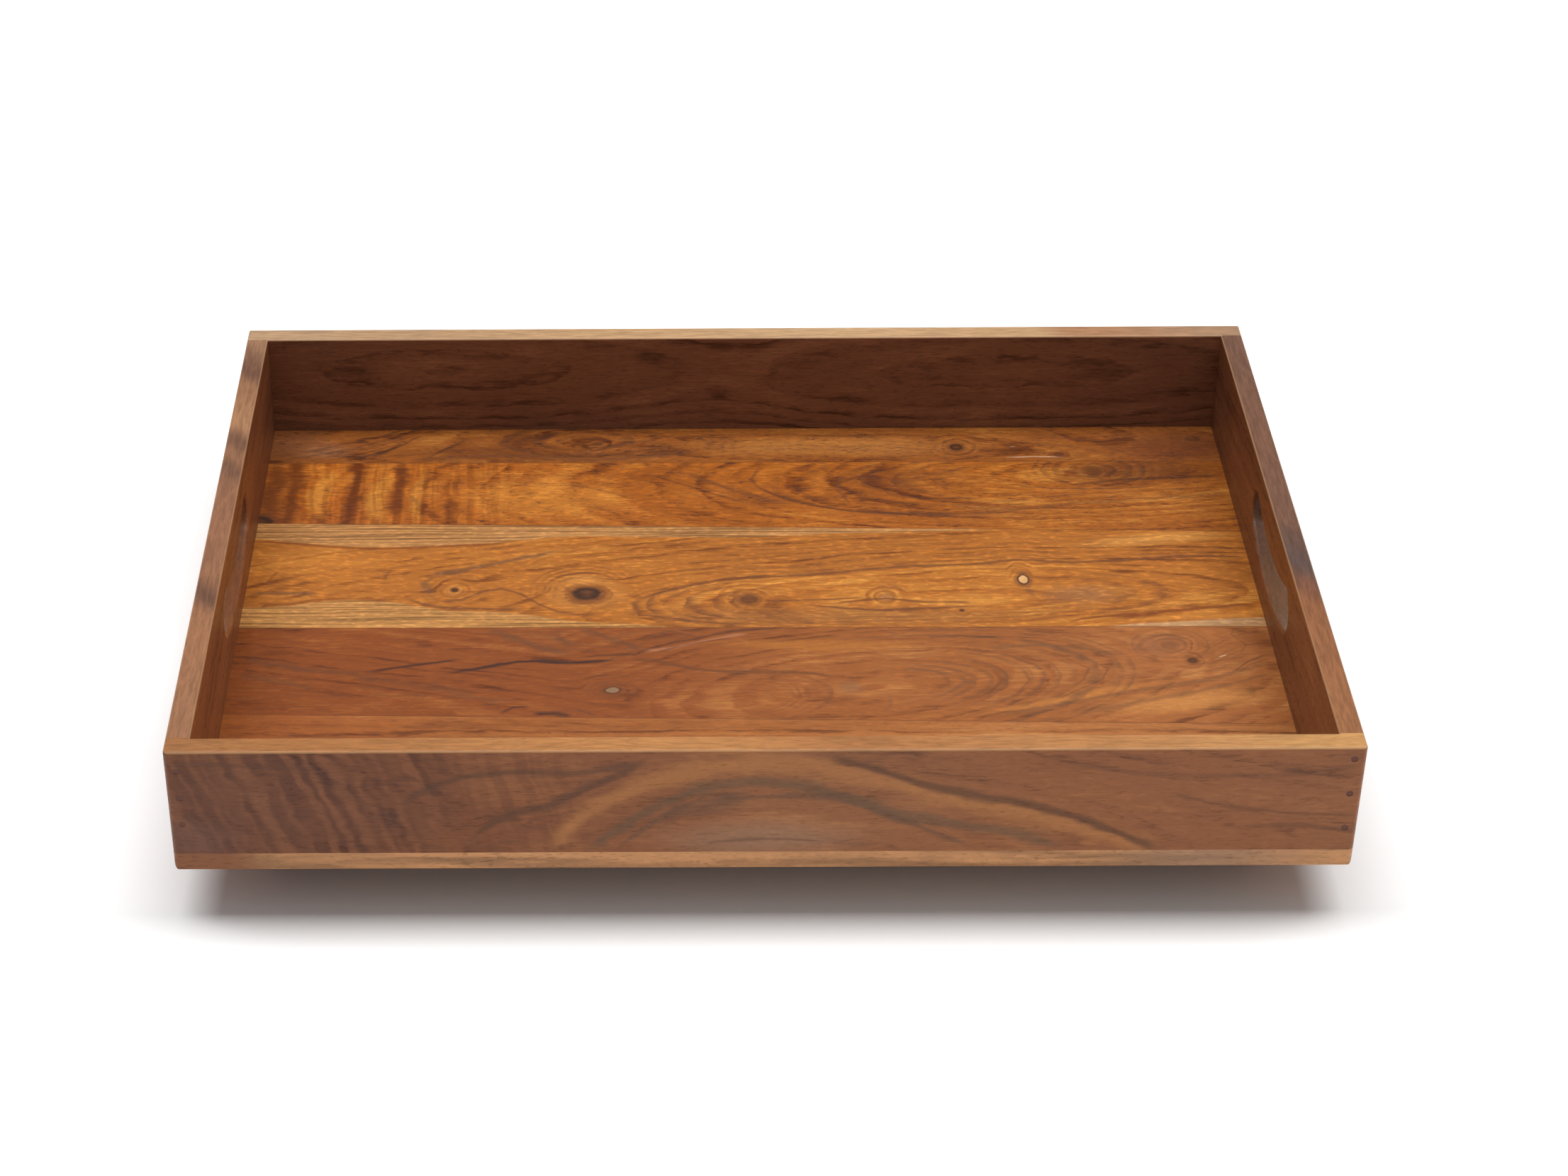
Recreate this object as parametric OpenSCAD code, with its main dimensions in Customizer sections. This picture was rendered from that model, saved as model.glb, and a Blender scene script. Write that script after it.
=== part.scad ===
// Rectangular wooden serving tray with a hand slot in each end.
// Two long rails run the full length, two end boards butt between them, and a panel of edge-glued
// boards is planted underneath. Brads hold the corners and the panel, and filler hides their heads.
// X runs along the tray, Y from the front rail to the back rail and Z up.
// The origin is the centre of the underside.

/* [Overall] */
// Outside length of the tray
tray_l = 430; // [340:1:600]
// Outside width of the tray
tray_w = 305; // [252:1:420]
// Height of the four walls above the base panel
wall_h = 46; // [38:1:80]
// Thickness of the rails and the end boards
wall_t = 9; // [7:0.5:14]
// Thickness of the base panel
base_t = 8; // [6:0.5:14]

/* [Base boards] */
// Width halfway along of the first board, which starts under the back rail
board_1_w = 37; // [25:0.5:60]
// Width halfway along of the second board
board_2_w = 51.5; // [30:0.5:75]
// Width halfway along of the third board
board_3_w = 73.5; // [40:0.5:95]
// Width halfway along of the fourth board; the fifth takes what is left, as far as the front
board_4_w = 62; // [35:0.5:85]
// How much wider the first board is at its right end than at its left
board_1_taper = 1.4; // [-10:0.2:10]
// How much wider the second board is at its right end than at its left
board_2_taper = 8; // [-10:0.2:10]
// How much wider the third board is at its right end than at its left
board_3_taper = -7.6; // [-10:0.2:10]
// How much wider the fourth board is at its right end than at its left
board_4_taper = 7.6; // [-10:0.2:10]

/* [Hand slots] */
// Length of a slot from round end to round end
slot_l = 86; // [70:1:110]
// Height of a slot, which is also the diameter of its round ends
slot_h = 17; // [14:0.5:20]
// Radius of the arc on which a slot's ends rise towards the rim
slot_bend_r = 105; // [90:5:300]
// Wood left between the rim and the middle of a slot
slot_drop = 18.3; // [14:0.1:20]
// Radius to which the edges of a slot are eased
slot_ease = 1.6; // [0.5:0.1:2.5]

/* [Edges] */
// Radius of the sanded upright corners
corner_r = 2; // [0.5:0.1:3]
// Radius of the sanded edges of the rim
rim_r = 1; // [0.4:0.1:2]
// Radius of the base panel's lower edges at the two ends
base_end_r = 3; // [0.5:0.1:4]
// Radius of the base panel's lower edges along the front and back
base_side_r = 1.4; // [0.5:0.1:3]

/* [Brads] */
// Diameter of a brad's shank
brad_d = 1.2; // [0.9:0.1:1.6]
// Length of a brad with its head
brad_l = 25; // [18:1:32]
// Diameter of a brad's head
head_d = 2; // [1.8:0.1:2.4]
// Thickness of a brad's head
head_t = 0.8; // [0.5:0.1:1.2]
// How far a brad's head is set below the wood
head_set = 1.6; // [1:0.1:2.5]
// Gap round a brad in its hole
brad_gap = 0.03; // [0.01:0.01:0.1]
// Diameter of the filled hole over a head
filler_d = 2.6; // [2.5:0.1:3.5]
// How far the filler has shrunk below the wood
filler_sink = 0.1; // [0.05:0.05:0.3]

/* [Brad places] */
// Number of brads in one corner
corner_brads = 3; // [2:1:4]
// Depth of the right corners' top brad below the rim
right_top_drop = 5; // [4:0.5:10]
// Height of the right corners' bottom brad above the base panel
right_foot_rise = 10; // [6:0.5:14]
// Depth of the left corners' top brad below the rim
left_top_drop = 8.5; // [4:0.5:10]
// Height of the left corners' bottom brad above the base panel
left_foot_rise = 13.5; // [6:0.5:14]
// Number of brads that hold the base panel to one rail
rail_brads = 5; // [3:1:7]
// Distance of a rail's outermost base brad from the tray's end
rail_brad_inset = 32; // [20:1:50]
// Distance of an end board's base brads from the tray's front or back
end_brad_inset = 46; // [40:1:60]

/* [Hidden] */
$fn = 64;

// How far a cutter runs past the face that it cuts
past = 1;
// Length of a brad's tapered point
point_l = brad_d * 1.2;

tray_h = base_t + wall_h;
well_l = tray_l - 2 * wall_t;
well_w = tray_w - 2 * wall_t;
slot_z = tray_h - slot_drop - slot_h / 2;
// Angle from a slot's middle to the centre of its round end, seen from the centre of its arc
slot_bend_a = asin((slot_l - slot_h) / 2 / slot_bend_r);

// Middle of the end boards' and the rails' thickness
end_mid = tray_l / 2 - wall_t / 2;
rail_mid = tray_w / 2 - wall_t / 2;

board_w = [board_1_w, board_2_w, board_3_w, board_4_w];
board_taper = [board_1_taper, board_2_taper, board_3_taper, board_4_taper];

// Place along Y of a base board's front edge at one end, where side is 1 on the right and -1 on the left.
// Number 0 is the back of the panel.
function seam_y(number, side) =
    number == 0 ? tray_w / 2
    : number > len(board_w) ? -tray_w / 2
    : seam_y(number - 1, side) - board_w[number - 1] - side * board_taper[number - 1] / 2;

// Heights of one corner's brads, where side is 1 on the right and -1 on the left
function top_drop(side) = side > 0 ? right_top_drop : left_top_drop;
function foot_rise(side) = side > 0 ? right_foot_rise : left_foot_rise;
function corner_z(side) = [
    for (i = [0 : corner_brads - 1])
        base_t + foot_rise(side) + i * (wall_h - foot_rise(side) - top_drop(side)) / (corner_brads - 1)
];

// Places along X of the base brads in one rail
rail_brad_x = [
    for (i = [0 : rail_brads - 1])
        -tray_l / 2 + rail_brad_inset + i * (tray_l - 2 * rail_brad_inset) / (rail_brads - 1)
];
// Places along Y of the base brads in one end board
end_brad_y = [end_brad_inset - tray_w / 2, tray_w / 2 - end_brad_inset];

// ---- shapes ----

// Rectangle centred across and standing on the X axis, with its own radius below and above
module rounded_face(w, h, low_r, top_r) {
    translate([low_r - w / 2, 0]) square([w - 2 * low_r, h / 2]);
    translate([-w / 2, low_r]) square([w, h - low_r - top_r]);
    translate([top_r - w / 2, h / 2]) square([w - 2 * top_r, h / 2]);
    for (s = [-1, 1]) {
        translate([s * (w / 2 - low_r), low_r]) circle(r = low_r);
        translate([s * (w / 2 - top_r), h - top_r]) circle(r = top_r);
    }
}

// Outline that widens by r with a round-over as it reaches height h
module flared_face(w, low, h, r) {
    translate([-w / 2, low]) square([w, h + past - low]);
    for (s = [-1, 1])
        difference() {
            translate([s > 0 ? w / 2 : -w / 2 - r, h - r]) square([r, r + past]);
            translate([s * (w / 2 + r), h - r]) circle(r = r);
        }
}

// Outside of the whole tray with every outer edge sanded
module envelope() {
    intersection() {
        rotate([90, 0, 0])
            linear_extrude(height = tray_w + 2 * past, center = true)
                rounded_face(tray_l, tray_h, base_end_r, rim_r);
        rotate([90, 0, 90])
            linear_extrude(height = tray_l + 2 * past, center = true)
                rounded_face(tray_w, tray_h, base_side_r, rim_r);
        linear_extrude(height = tray_h)
            translate([0, -tray_w / 2])
                rounded_face(tray_l, tray_w, corner_r, corner_r);
    }
}

// The hollow of the tray, flared where the rim's inner edges are sanded
module well() {
    intersection() {
        rotate([90, 0, 0])
            linear_extrude(height = tray_w, center = true)
                flared_face(well_l, base_t, tray_h, rim_r);
        rotate([90, 0, 90])
            linear_extrude(height = tray_l, center = true)
                flared_face(well_w, base_t, tray_h, rim_r);
    }
}

// Half of a slot's section, which flares by slot_ease at both faces of the wall
module slot_section() {
    reach = slot_h / 2;
    translate([0, -wall_t / 2 - past]) square([reach, wall_t + 2 * past]);
    for (s = [-1, 1])
        difference() {
            translate([reach, s > 0 ? wall_t / 2 - slot_ease : -wall_t / 2 - past])
                square([slot_ease, slot_ease + past]);
            translate([reach + slot_ease, s * (wall_t / 2 - slot_ease)]) circle(r = slot_ease);
        }
}

// Cutter for a hand slot: along Y on an arc whose ends bend towards -X, and through the wall along Z
module slot_cutter() {
    translate([-slot_bend_r, 0, 0]) {
        rotate([0, 0, -slot_bend_a])
            rotate_extrude(angle = 2 * slot_bend_a)
                translate([slot_bend_r, 0])
                    for (side = [0, 1])
                        mirror([side, 0])
                            slot_section();
        for (s = [-1, 1])
            rotate([0, 0, s * slot_bend_a])
                translate([slot_bend_r, 0, 0])
                    rotate([0, 0, s > 0 ? 0 : 180])
                        rotate_extrude(angle = 180)
                            slot_section();
    }
}

// A brad with the top of its head at the origin and its point along +Z
module brad() {
    cylinder(d = head_d, h = head_t);
    cylinder(d = brad_d, h = brad_l - point_l);
    translate([0, 0, brad_l - point_l]) cylinder(d1 = brad_d, d2 = brad_d / 4, h = point_l);
}

// The hole that a set and filled brad leaves, starting at the wood's surface and running along +Z
module brad_hole() {
    translate([0, 0, -past]) cylinder(d = filler_d, h = past + head_set);
    cylinder(d = head_d + 2 * brad_gap, h = head_set + head_t);
    cylinder(d = brad_d + 2 * brad_gap, h = head_set + brad_l + brad_gap);
}

// The plug of filler over a head
module filler() {
    translate([0, 0, filler_sink]) cylinder(d = filler_d, h = head_set - filler_sink);
}

// Puts its child at each brad of one corner: side is 1 on the right, face is 1 at the back
module at_corner(side, face) {
    for (z = corner_z(side))
        translate([side * end_mid, face * tray_w / 2, z])
            rotate([face * 90, 0, 0])
                children();
}

// Puts its child at each base brad of one rail
module at_rail_base(face) {
    for (x = rail_brad_x)
        translate([x, face * rail_mid, 0])
            children();
}

// Puts its child at each base brad of one end board
module at_end_base(side) {
    for (y = end_brad_y)
        translate([side * end_mid, y, 0])
            children();
}

// ---- walls ----

// A long rail: face is 1 at the back and -1 at the front
module rail(face) {
    difference() {
        intersection() {
            envelope();
            translate([-tray_l / 2, face > 0 ? well_w / 2 : -tray_w / 2, base_t])
                cube([tray_l, wall_t, wall_h]);
        }
        well();
        for (side = [-1, 1])
            at_corner(side, face) brad_hole();
        at_rail_base(face) brad_hole();
    }
}

// An end board with its hand slot: side is 1 on the right and -1 on the left
module end_board(side) {
    difference() {
        intersection() {
            envelope();
            translate([side > 0 ? well_l / 2 : -tray_l / 2, -well_w / 2, base_t])
                cube([wall_t, well_w, wall_h]);
        }
        well();
        translate([side * end_mid, 0, slot_z])
            rotate([0, 90, 0])
                slot_cutter();
        for (face = [-1, 1])
            at_corner(side, face) brad_hole();
        at_end_base(side) brad_hole();
    }
}

module front_rail() {
    color([0.42, 0.27, 0.17]) rail(-1);
}

module back_rail() {
    color([0.34, 0.18, 0.09]) rail(1);
}

module left_end() {
    color([0.5, 0.28, 0.14]) end_board(-1);
}

module right_end() {
    color([0.46, 0.25, 0.13]) end_board(1);
}

// ---- base panel ----

// One board of the panel, numbered from the back
module base_board(number) {
    difference() {
        intersection() {
            envelope();
            linear_extrude(height = base_t)
                polygon([
                    [-tray_l / 2, seam_y(number, -1)],
                    [tray_l / 2, seam_y(number, 1)],
                    [tray_l / 2, seam_y(number - 1, 1)],
                    [-tray_l / 2, seam_y(number - 1, -1)]
                ]);
        }
        for (side = [-1, 1]) {
            at_rail_base(side) brad_hole();
            at_end_base(side) brad_hole();
        }
    }
}

module base_board_1() {
    color([0.6, 0.32, 0.13]) base_board(1);
}

module base_board_2() {
    color([0.66, 0.37, 0.15]) base_board(2);
}

module base_board_3() {
    color([0.72, 0.42, 0.17]) base_board(3);
}

module base_board_4() {
    color([0.58, 0.3, 0.14]) base_board(4);
}

module base_board_5() {
    color([0.62, 0.36, 0.18]) base_board(5);
}

// ---- brads and filler ----

module corner_brads(side, face) {
    color([0.62, 0.62, 0.64])
        at_corner(side, face)
            translate([0, 0, head_set])
                brad();
}

module corner_fillers(side, face) {
    color([0.24, 0.13, 0.12])
        at_corner(side, face)
            filler();
}

module base_brads_along(face) {
    color([0.62, 0.62, 0.64])
        at_rail_base(face)
            translate([0, 0, head_set])
                brad();
}

module base_brads_across(side) {
    color([0.62, 0.62, 0.64])
        at_end_base(side)
            translate([0, 0, head_set])
                brad();
}

module base_fillers_along(face) {
    color([0.24, 0.13, 0.12])
        at_rail_base(face)
            filler();
}

module base_fillers_across(side) {
    color([0.24, 0.13, 0.12])
        at_end_base(side)
            filler();
}

front_rail();
back_rail();
left_end();
right_end();
base_board_1();
base_board_2();
base_board_3();
base_board_4();
base_board_5();
corner_brads(-1, -1);  // corner_brads_front_left
corner_brads(1, -1);  // corner_brads_front_right
corner_brads(-1, 1);  // corner_brads_back_left
corner_brads(1, 1);  // corner_brads_back_right
corner_fillers(-1, -1);  // corner_fillers_front_left
corner_fillers(1, -1);  // corner_fillers_front_right
corner_fillers(-1, 1);  // corner_fillers_back_left
corner_fillers(1, 1);  // corner_fillers_back_right
base_brads_along(-1);  // base_brads_front
base_brads_along(1);  // base_brads_back
base_brads_across(-1);  // base_brads_left
base_brads_across(1);  // base_brads_right
base_fillers_along(-1);  // base_fillers_front
base_fillers_along(1);  // base_fillers_back
base_fillers_across(-1);  // base_fillers_left
base_fillers_across(1);  // base_fillers_right
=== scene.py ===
import math
from dataclasses import dataclass, field

import bpy
from mathutils import Matrix, Vector


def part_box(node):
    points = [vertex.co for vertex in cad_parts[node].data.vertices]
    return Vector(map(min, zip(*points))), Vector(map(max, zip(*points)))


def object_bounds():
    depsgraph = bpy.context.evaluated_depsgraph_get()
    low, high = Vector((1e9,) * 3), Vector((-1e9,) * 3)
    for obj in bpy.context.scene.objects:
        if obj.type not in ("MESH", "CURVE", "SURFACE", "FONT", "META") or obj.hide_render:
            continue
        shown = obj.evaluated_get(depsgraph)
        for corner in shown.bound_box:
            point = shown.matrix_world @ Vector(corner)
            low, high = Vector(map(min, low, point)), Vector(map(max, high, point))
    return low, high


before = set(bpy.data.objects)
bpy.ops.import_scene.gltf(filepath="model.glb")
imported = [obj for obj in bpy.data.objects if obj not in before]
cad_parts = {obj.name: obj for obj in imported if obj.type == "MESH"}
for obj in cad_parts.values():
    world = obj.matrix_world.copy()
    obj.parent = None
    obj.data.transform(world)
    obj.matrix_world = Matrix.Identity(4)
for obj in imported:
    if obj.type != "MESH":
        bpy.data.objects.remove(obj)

cad_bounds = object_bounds()

# Every piece of the tray is a CAD node whose shape is right, so this script gives each its own wood.
# Places on a piece of wood are in millimetres of the tray's frame: u runs along the grain and v across
# it. On a base board they are X and Y, on a rail X and Z, and on an end board Y and Z. Colours are
# linear.

MM = 0.001
UP = Vector((0, 0, 1))


# ---- describing a piece of wood ----


@dataclass
class Swirl:
    """Nested ellipses of grain, as where a saw cuts through the cones of a trunk's growth."""

    u: float
    v: float
    long: float  # how much longer than wide each ellipse is
    turn: float = 0.0  # degrees from u towards v
    start: float = 0.0  # growth at the centre, in millimetres


@dataclass
class Knot:
    """A branch cut through, with the grain parted round it."""

    u: float
    v: float
    r: float  # radius of the dark wood
    long: float = 1.0  # how much longer than wide it is
    turn: float = 0.0
    dark: float = 1.0
    halo: float = 0.0  # strength of the pale wood round it
    reach: float = 2.5  # how far the grain bends, in radii
    heart: tuple = None  # colour of a pale middle


@dataclass
class Streak:
    """A line of another colour through points in rising u, or in rising v if it is upright."""

    path: list
    width: float = 1.0
    colour: tuple = (0.07, 0.022, 0.008)
    strength: float = 0.65
    upright: bool = False
    fade: float = 8.0  # length over which each end fades
    straight: bool = False  # not bent with the grain


@dataclass
class Flow:
    """Growth lines that run beside a line through points in rising u."""

    path: list
    low: float  # how far above the line they begin and end
    high: float
    pitch: float = 2.6
    colour: tuple = (0.10, 0.032, 0.011)
    strength: float = 0.45
    fade: float = 14.0


@dataclass
class Rings:
    """Growth lines in nested ellipses, or on the one side of them that facing points to."""

    u: float
    v: float
    long: float
    turn: float
    low: float  # half width of the smallest ellipse and of the largest
    high: float
    pitch: float = 2.6
    facing: float = None  # degrees from u towards v
    colour: tuple = (0.10, 0.032, 0.011)
    strength: float = 0.45


@dataclass
class Region:
    """All the wood above a line through points in rising u, or below it."""

    path: list
    colour: tuple
    strength: float = 0.9
    soft: float = 0.7
    below: bool = False
    lines: float = 0.5  # how much of the grain shows through


@dataclass
class Patch:
    """A soft ellipse of another shade."""

    u: float
    v: float
    size: tuple  # half lengths
    colour: tuple
    strength: float = 0.5
    turn: float = 0.0


@dataclass
class Ripple:
    """Curly figure: bands across the grain that catch the light in turn."""

    low: float
    high: float
    pitch: float
    lean: float  # degrees
    strength: float
    fade: float = 12.0


@dataclass
class Wood:
    """A piece of wood: its three own colours, the run of its grain, and all that shows on its face."""

    deep: tuple
    middle: tuple
    bright: tuple
    swirls: list
    knots: list = field(default_factory=list)
    streaks: list = field(default_factory=list)
    flows: list = field(default_factory=list)
    rings: list = field(default_factory=list)
    regions: list = field(default_factory=list)
    patches: list = field(default_factory=list)
    ripples: list = field(default_factory=list)
    tint: list = None  # (u, colour) that the wood is multiplied by along the grain
    rim: list = None  # (u, colour) of a wall's top: sanded wood, with painted highlight and reflection in it
    slot: list = None  # (u, colour) of the unfinished wood inside a hand slot, darkening towards the back with painted shade
    seed: float = 0.0
    wander: float = 6.0  # how far the grain strays from its ellipses
    pitch: float = 5.0  # width of a year's growth
    broad: float = 0.5  # contrast of the wide bands
    lines: float = 0.5  # contrast of the growth lines
    pores: float = 0.6
    curl: float = 0.3  # strength of the short bright flecks
    gloss: float = 0.40  # mean roughness


# ---- nodes ----


class Tree:
    """Short calls for building one material."""

    def __init__(self, name):
        self.material = bpy.data.materials.new(name)
        self.material.use_nodes = True
        self.nodes = self.material.node_tree.nodes
        self.links = self.material.node_tree.links
        self.nodes.clear()

    def feed(self, socket, value):
        if isinstance(value, bpy.types.NodeSocket):
            self.links.new(value, socket)
        else:
            socket.default_value = value

    def add(self, kind, inputs, **settings):
        node = self.nodes.new(kind)
        for name, value in settings.items():
            setattr(node, name, value)
        for name, value in inputs.items():
            self.feed(node.inputs[name], value)
        return node

    def maths(self, operation, *values, clamp=False):
        numbered = dict(enumerate(values))
        return self.add("ShaderNodeMath", numbered, operation=operation, use_clamp=clamp).outputs[0]

    def vectors(self, operation, *values):
        numbered = dict(enumerate(values))
        node = self.add("ShaderNodeVectorMath", numbered, operation=operation)
        return node.outputs["Value" if operation in ("LENGTH", "DOT_PRODUCT") else "Vector"]

    def scaled(self, vector, factor):
        inputs = {"Vector": vector, "Scale": factor}
        return self.add("ShaderNodeVectorMath", inputs, operation="SCALE").outputs[0]

    def mix(self, factor, a, b, blend="MIX"):
        settings = {"data_type": "RGBA", "blend_type": blend, "clamp_factor": True}
        return self.add("ShaderNodeMix", {0: factor, 6: a, 7: b}, **settings).outputs[2]

    def tinted(self, factor, colour, other):
        """colour, times other where factor is one."""
        return self.mix(factor, colour, other, "MULTIPLY")

    def step(self, value, low, high, bottom=0.0, top=1.0):
        """Goes smoothly from bottom at low to top at high. low may be the larger."""
        inputs = {"Value": value, "From Min": low, "From Max": high, "To Min": bottom, "To Max": top}
        return self.add("ShaderNodeMapRange", inputs, interpolation_type="SMOOTHSTEP").outputs[0]

    def curve(self, value, points):
        """The height at value of a smooth line through points, all of it in metres."""
        node = self.add("ShaderNodeFloatCurve", {"Value": value})
        mapping = node.mapping
        mapping.extend = "HORIZONTAL"
        mapping.clip_min_x = mapping.clip_min_y = -1.0
        line = mapping.curves[0]
        line.points[0].location = points[0]
        line.points[-1].location = points[-1]
        for point in points[1:-1]:
            line.points.new(*point)
        mapping.update()
        return node.outputs[0]

    def ramp(self, value, stops):
        """A colour that changes through stops, each a value and a colour."""
        low, high = stops[0][0], stops[-1][0]
        inputs = {"Value": value, "From Min": low, "From Max": high}
        share = self.add("ShaderNodeMapRange", inputs).outputs[0]
        node = self.add("ShaderNodeValToRGB", {"Fac": share})
        node.color_ramp.interpolation = "EASE"
        elements = node.color_ramp.elements
        for element, stop in zip(elements, (stops[0], stops[-1])):
            element.color = rgba(stop[1])
        for place, colour in stops[1:-1]:
            elements.new((place - low) / (high - low)).color = rgba(colour)
        return node.outputs[0]

    def noise(self, place, size, detail=2.0, roughness=0.5, colour=False):
        """Noise whose lumps are about size millimetres along u, v and w."""
        scaled = self.vectors("MULTIPLY", place, [1 / s for s in size])
        inputs = {"Vector": scaled, "Scale": 1.0, "Detail": detail, "Roughness": roughness}
        return self.add("ShaderNodeTexNoise", inputs).outputs[1 if colour else 0]

    def line_noise(self, value, size, detail=2.0, roughness=0.5):
        inputs = {"W": value, "Scale": 1 / size, "Detail": detail, "Roughness": roughness}
        return self.add("ShaderNodeTexNoise", inputs, noise_dimensions="1D").outputs[0]

    def seen_from(self, place, u, v, turn=0.0, scale=(1, 1, 1), w=0.0):
        """place as seen from a point, turned by turn degrees and shrunk by scale."""
        inputs = {
            "Vector": place,
            "Location": (u, v, w),
            "Rotation": (0, 0, math.radians(turn)),
            "Scale": scale,
        }
        return self.add("ShaderNodeMapping", inputs, vector_type="TEXTURE").outputs[0]

    def split(self, vector):
        return self.add("ShaderNodeSeparateXYZ", {"Vector": vector}).outputs

    def finish(self, **inputs):
        shader = self.add("ShaderNodeBsdfPrincipled", {n.replace("_", " "): v for n, v in inputs.items()})
        out = self.add("ShaderNodeOutputMaterial", {})
        self.links.new(shader.outputs[0], out.inputs["Surface"])
        return self.material


def rgba(colour):
    return (*colour, 1.0)


def grey(level):
    return (level, level, level, 1.0)


# ---- wood ----

PITH_DEPTH = 6.0  # how far below the face a swirl's centre lies
DEPTH_SCALE = 5  # how slowly growth changes with depth
SWIRL_BLEND = 6.0  # how softly two swirls meet, and a knot and the grain round it
KNOT_BLEND = 3.0
KNOT_STEEP = 1.5  # growth across a millimetre of a knot
HALF = (0.5,) * 3  # the mean of a colour noise
KNOT_CORE = (0.045, 0.017, 0.008)
KNOT_RING = (0.13, 0.040, 0.012)
PALE = (0.46, 0.19, 0.040)
# painted highlight for the eased edges of a wall's top
RIM_HIGHLIGHT = (0.55, 0.33, 0.17)
RIPPLE_DARK = (0.45, 0.36, 0.28)
RIPPLE_LIGHT = (1.3, 1.42, 1.5)
EVERY_DEPTH = 1e3  # a scale that makes a shape the same right through the wood
TRAY_TOP = cad_bounds[1].z / MM
RIM_T = 3.0  # how far down a wall's top, sanded and painted with highlight, reaches, in millimetres

# How large the lumps of each noise are, in millimetres along u, v and w
DRIFT_SIZE = (85, 26, 40)
WAVER_SIZE = (14, 4.5, 6)
SHADE_SIZE = (60, 22, 30)
HAIR_SIZE = (70, 1.3, 4)
FIBRE_SIZE = (13, 0.95, 1.2)
FLECK_SIZE = (4.5, 1.5, 2.0)
PORE_SIZE = (3.6, 0.62, 0.8)
SHEEN_SIZE = (35, 20, 25)
WOBBLE_SIZE = (15, 12, 20)
BAND_SIZE = 15
SEED_SHIFT = (211.0, 97.0, 53.0)  # moves each piece to its own part of the noises


def grain_place(t, axes, face):
    """Millimetres along u and v, and in from the face. axes says which of X, Y and Z each is."""
    raw = t.add("ShaderNodeTexCoord", {}).outputs["Object"]
    xyz = t.split(t.scaled(raw, 1 / MM))
    inputs = {i: xyz["XYZ".index(axis)] for i, axis in enumerate(axes)}
    place = t.add("ShaderNodeCombineXYZ", inputs).outputs[0]
    return t.vectors("SUBTRACT", place, (0, 0, face))


def growth_at(wood, spot):
    """The growth that the swirls give at a spot on the face."""
    found = []
    for s in wood.swirls:
        turn = math.radians(s.turn)
        du, dv = spot.u - s.u, spot.v - s.v
        along = du * math.cos(turn) + dv * math.sin(turn)
        across = dv * math.cos(turn) - du * math.sin(turn)
        found.append(s.start + math.hypot(along / s.long, across, PITH_DEPTH))
    return min(found)


def growth_field(t, place, wood):
    """Growth of the wood in millimetres: its level lines are the grain."""
    found = None
    for s in wood.swirls:
        local = t.seen_from(place, s.u, s.v, s.turn, (s.long, 1, DEPTH_SCALE), -DEPTH_SCALE * PITH_DEPTH)
        growth = t.maths("ADD", t.vectors("LENGTH", local), s.start)
        found = growth if found is None else t.maths("SMOOTH_MIN", found, growth, SWIRL_BLEND)
    for k in wood.knots:
        reach = k.r * k.reach
        local = t.seen_from(place, k.u, k.v, k.turn, (k.long, 1, EVERY_DEPTH))
        middle = growth_at(wood, k) - KNOT_STEEP * reach
        own = t.maths("MULTIPLY_ADD", t.vectors("LENGTH", local), KNOT_STEEP, middle)
        found = t.maths("SMOOTH_MIN", found, own, KNOT_BLEND)
    return found


def growth_lines(t, distance, pitch, waver):
    """Each year's growth darkens towards its end and then stops, some years more than others."""
    uneven = t.line_noise(distance, pitch * 2.5, detail=1.0)
    uneven = t.maths("MULTIPLY_ADD", waver, 0.7, t.maths("MULTIPLY", uneven, 2.0))
    years = t.maths("MULTIPLY_ADD", distance, 1 / pitch, uneven)
    within = t.maths("FRACT", years)
    year = t.maths("FLOOR", years)
    own = t.add("ShaderNodeTexWhiteNoise", {"W": year}, noise_dimensions="1D").outputs[0]
    dark = t.maths("MULTIPLY", t.step(within, 0.3, 0.88), t.step(within, 1.0, 0.9))
    strength = t.maths("MULTIPLY", t.step(own, 0.0, 1.0, 0.2, 1.0), t.step(waver, 0.3, 0.62, 0.3, 1.0))
    return t.maths("MULTIPLY", dark, strength)


class Grain:
    """The places and noises that all features of a piece of wood share."""

    def __init__(self, t, wood, axes, face):
        self.place = grain_place(t, axes, face)
        self.apart = t.vectors("ADD", self.place, [wood.seed * shift for shift in SEED_SHIFT])
        drift = t.vectors("SUBTRACT", t.noise(self.apart, DRIFT_SIZE, 3.0, 0.55, colour=True), HALF)
        drift = t.vectors("MULTIPLY", drift, (wood.wander * 2.4, wood.wander * 1.7, wood.wander))
        self.bent = t.vectors("ADD", self.place, drift)
        self.fibre_place = t.vectors("ADD", self.apart, drift)
        self.near = t.vectors("ADD", self.place, t.scaled(drift, 0.3))
        self.flat = t.split(t.scaled(self.near, MM))  # in metres, as a curve takes them
        self.straight = t.split(t.scaled(self.place, MM))
        self.waver = t.noise(self.apart, WAVER_SIZE)
        self.thinner = t.step(self.waver, 0.25, 0.7, 1.8, 0.75)  # narrows a streak here and there
        self.growth = growth_field(t, self.bent, wood)
        self.lines = growth_lines(t, self.growth, wood.pitch, self.waver)
        self.hair = t.noise(t.vectors("ADD", self.near, (wood.seed * 31.0, 0, 0)), HAIR_SIZE, detail=3.0)
        self.fibres = t.noise(self.fibre_place, FIBRE_SIZE, detail=3.0, roughness=0.7)
        dashes = t.noise(self.fibre_place, PORE_SIZE)
        self.pores = t.maths("MULTIPLY", t.step(dashes, 0.56, 0.66), t.step(self.lines, 0.0, 0.4, 0.65, 1.0))


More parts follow.
